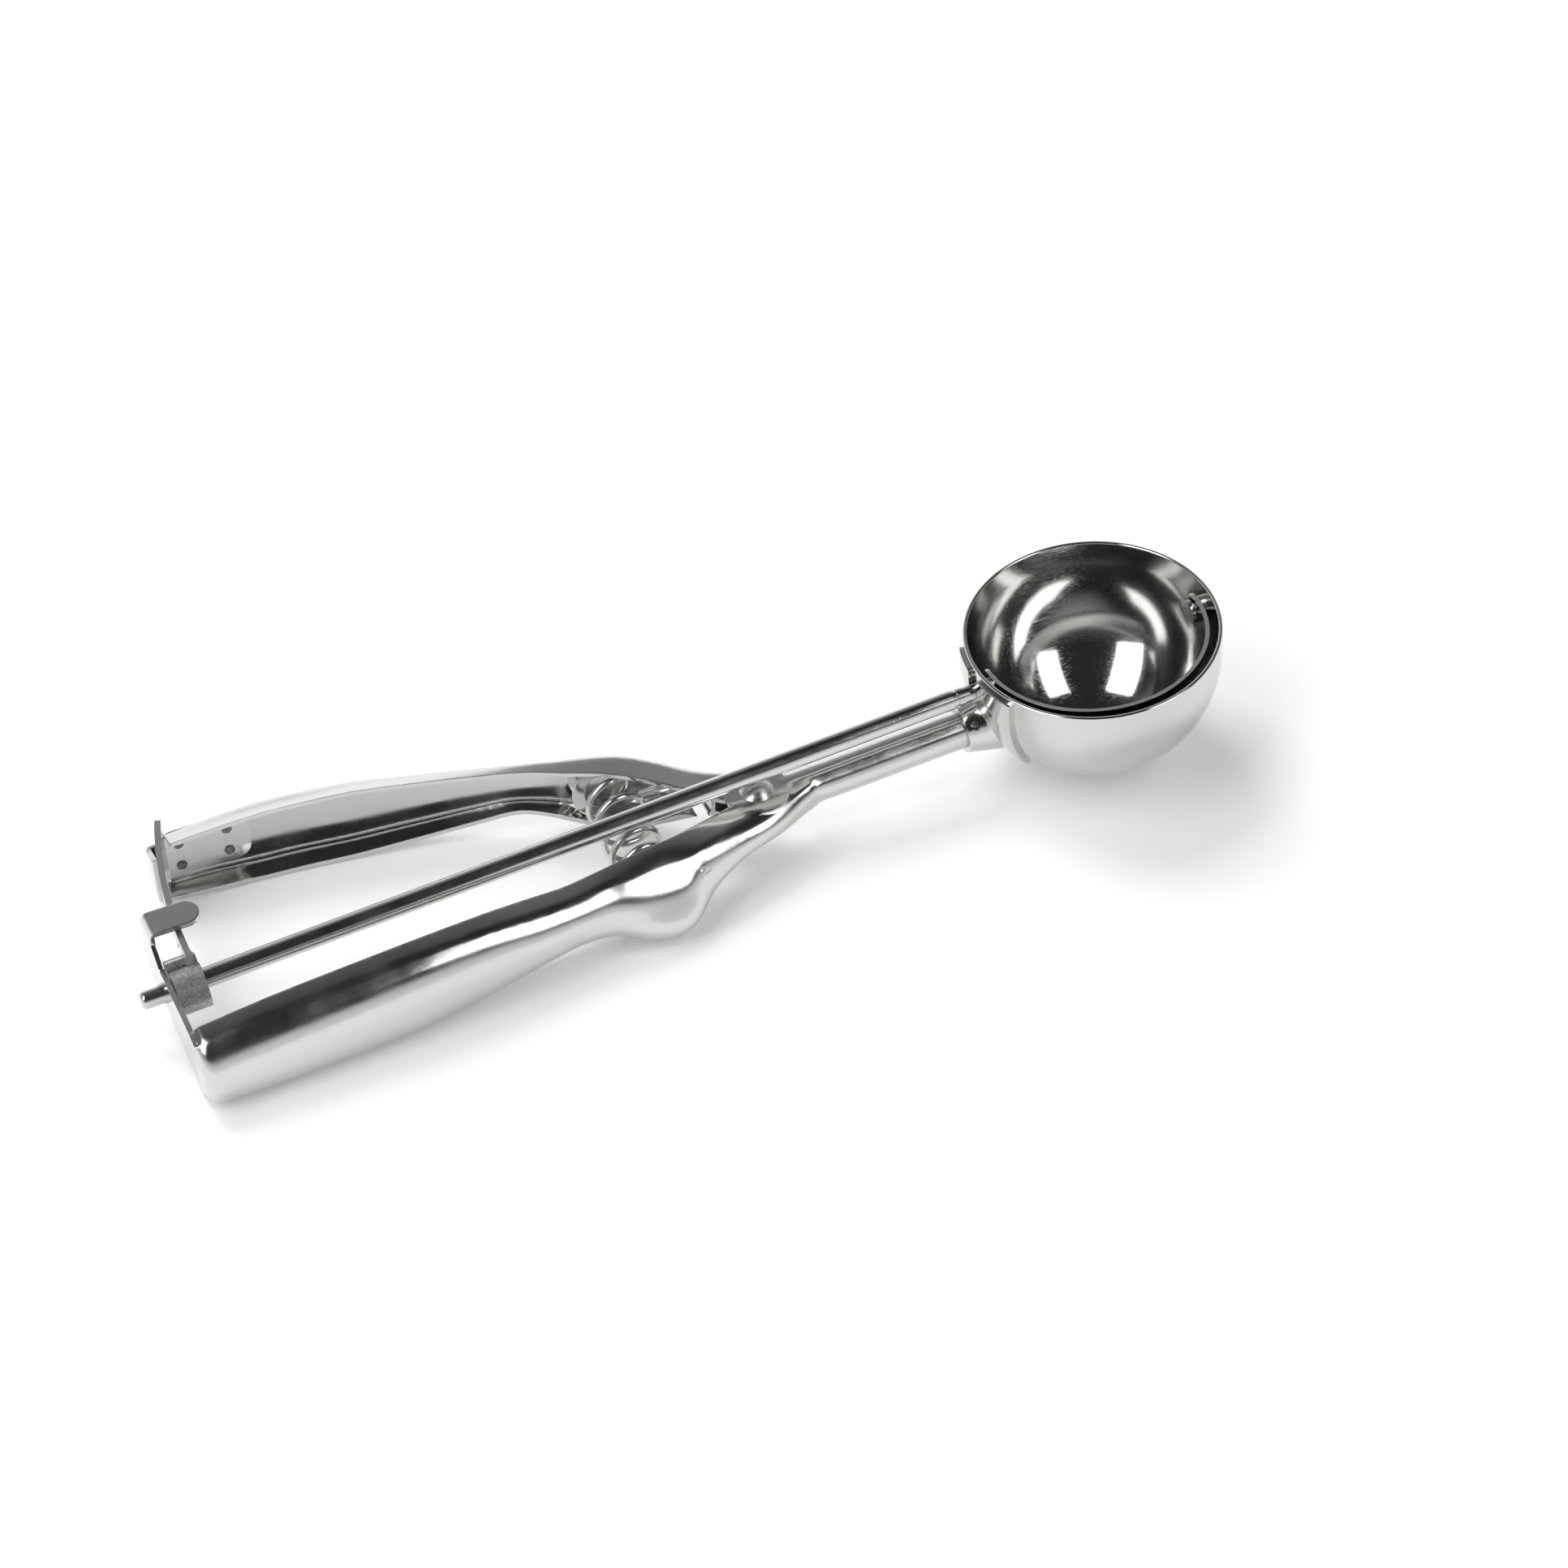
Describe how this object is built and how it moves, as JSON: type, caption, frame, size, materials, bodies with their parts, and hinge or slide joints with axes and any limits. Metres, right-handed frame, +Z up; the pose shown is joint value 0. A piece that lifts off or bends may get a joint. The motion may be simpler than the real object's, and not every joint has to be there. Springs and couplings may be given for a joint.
{
  "type": "ice cream scoop",
  "caption": "Stainless squeeze-handle ice cream scoop: round bowl, sprung lever grip with a toothed rack that turns a rod and sweeps a scraper band through the bowl.",
  "frame": {"origin": "middle of the bounding box on the table plane that the bowl and the two grips touch", "axes": "+X from the grips to the tip of the bowl, +Y to the lever side, +Z up out of the bowl"},
  "size_m": [0.2198, 0.062, 0.0322],
  "materials": {
    "bowl_steel": "polished stainless steel with fine scratches",
    "saddle_steel": "pressed stainless steel, tumbled bright",
    "frame_steel": "polished stainless steel sheet",
    "lever_steel": "polished stainless steel sheet",
    "rivet_steel": "headed steel rivet, dull bright",
    "rod_steel": "drawn stainless tube, bright",
    "pin_steel": "turned stainless pin",
    "plug_steel": "turned stainless plug",
    "pinion_cast": "cast stainless steel, grainy",
    "rack_steel": "stamped stainless steel, satin",
    "weld_steel": "spot weld marks, dark grey",
    "scraper_steel": "spring stainless strip, bright",
    "far_pin_steel": "headed stainless pin",
    "spring_steel": "drawn stainless spring wire"
  },
  "bodies": {
    "frame": {"bowl": "bowl_steel", "saddle": "saddle_steel", "frame": "frame_steel", "rivet": "rivet_steel", "far_pin": "far_pin_steel", "spring": "spring_steel"},
    "lever": {"lever": "lever_steel", "rack": "rack_steel", "spot_welds": "weld_steel"},
    "rod": {"rod": "rod_steel", "front_pin": "pin_steel", "tail_plug": "plug_steel", "pinion": "pinion_cast", "scraper": "scraper_steel"}
  },
  "joints": [
    {"name": "lever_squeeze", "type": "hinge", "parent": "frame", "child": "lever", "pos_m": [0.01285, -0.00571, 0.01121], "axis": [-0.025, -0.008, 0.9997], "range_deg": [0, 7.16], "stiffness_Nm_per_rad": 0.9, "springref_deg": -11.46, "deforming": ["spring"]},
    {"name": "rod_turn", "type": "hinge", "parent": "frame", "child": "rod", "pos_m": [0.08397, -0.00582, 0.025], "axis": [0.9967, -0.0007, 0.0808], "range_deg": [0, 176]}
  ],
  "couplings": [
    {"joint": "rod_turn", "follows": "lever_squeeze", "ratio": 24.215}
  ]
}
